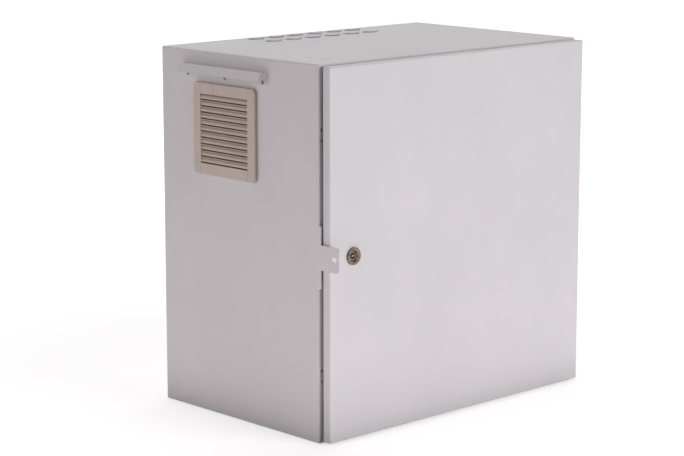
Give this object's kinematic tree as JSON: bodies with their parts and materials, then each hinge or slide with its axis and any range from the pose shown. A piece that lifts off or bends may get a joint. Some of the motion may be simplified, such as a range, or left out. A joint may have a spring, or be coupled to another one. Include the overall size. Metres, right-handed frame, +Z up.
{
  "type": "roadside utility cabinet",
  "caption": "Square sheet-steel equipment cabinet with an overlay door, side air filter under a rain hood, roof gills, padlock hasp and quarter-turn lock.",
  "frame": {"origin": "middle of the base, half-way between the door's face and the rear flange", "axes": "+X to the right seen from the front, +Y into the cabinet towards the rear, +Z up"},
  "size_m": [0.6187, 0.425, 0.6028],
  "materials": {
    "powder_coat": "fine light grey powder coat",
    "zinc_steel": "bright zinc plated steel",
    "nickel": "nickel plated die casting",
    "beige_plastic": "satin pebble grey plastic",
    "filter_fibre": "white fibre mat",
    "foam": "black foamed rubber",
    "rivet_aluminium": "mill finish"
  },
  "bodies": {
    "cabinet": {"body_shell": "powder_coat", "rear_panel": "powder_coat", "hasp_plate": "powder_coat", "rain_hood": "powder_coat", "hood_rivets": "rivet_aluminium", "filter_seal": "foam", "filter_housing": "beige_plastic", "filter_mat": "filter_fibre", "filter_cover": "beige_plastic", "hinge_bracket_lower": "zinc_steel", "hinge_bracket_upper": "zinc_steel", "hinge_pin_lower": "zinc_steel", "hinge_pin_upper": "zinc_steel", "hinge_screws": "zinc_steel", "mounting_plate": "zinc_steel", "plate_studs": "zinc_steel", "plate_spacers": "zinc_steel", "plate_nuts": "zinc_steel", "gland_plate": "zinc_steel", "gland_gasket": "foam", "gland_studs": "zinc_steel", "gland_nuts": "zinc_steel", "earth_stud": "zinc_steel", "earth_nuts": "zinc_steel"},
    "door": {"door_leaf": "powder_coat", "lock_backing_plate": "powder_coat", "door_gasket": "foam", "door_stiffener_left": "powder_coat", "door_stiffener_right": "powder_coat", "door_earth_stud": "zinc_steel", "door_earth_nut": "zinc_steel", "hinge_eye_lower": "zinc_steel", "hinge_eye_upper": "zinc_steel", "lock_housing": "nickel", "lock_nut": "zinc_steel"},
    "lock": {"lock_core": "nickel", "lock_cam": "zinc_steel", "cam_screw": "zinc_steel"}
  },
  "joints": [
    {"name": "door_hinge", "type": "hinge", "parent": "cabinet", "child": "door", "pos_m": [0.2905, -0.194, 0.3], "axis": [0, 0, 1], "range_deg": [0, 120]},
    {"name": "lock_turn", "type": "hinge", "parent": "door", "child": "lock", "pos_m": [-0.246, -0.19, 0.298], "axis": [0, 1, 0], "range_deg": [0, 90]}
  ]
}
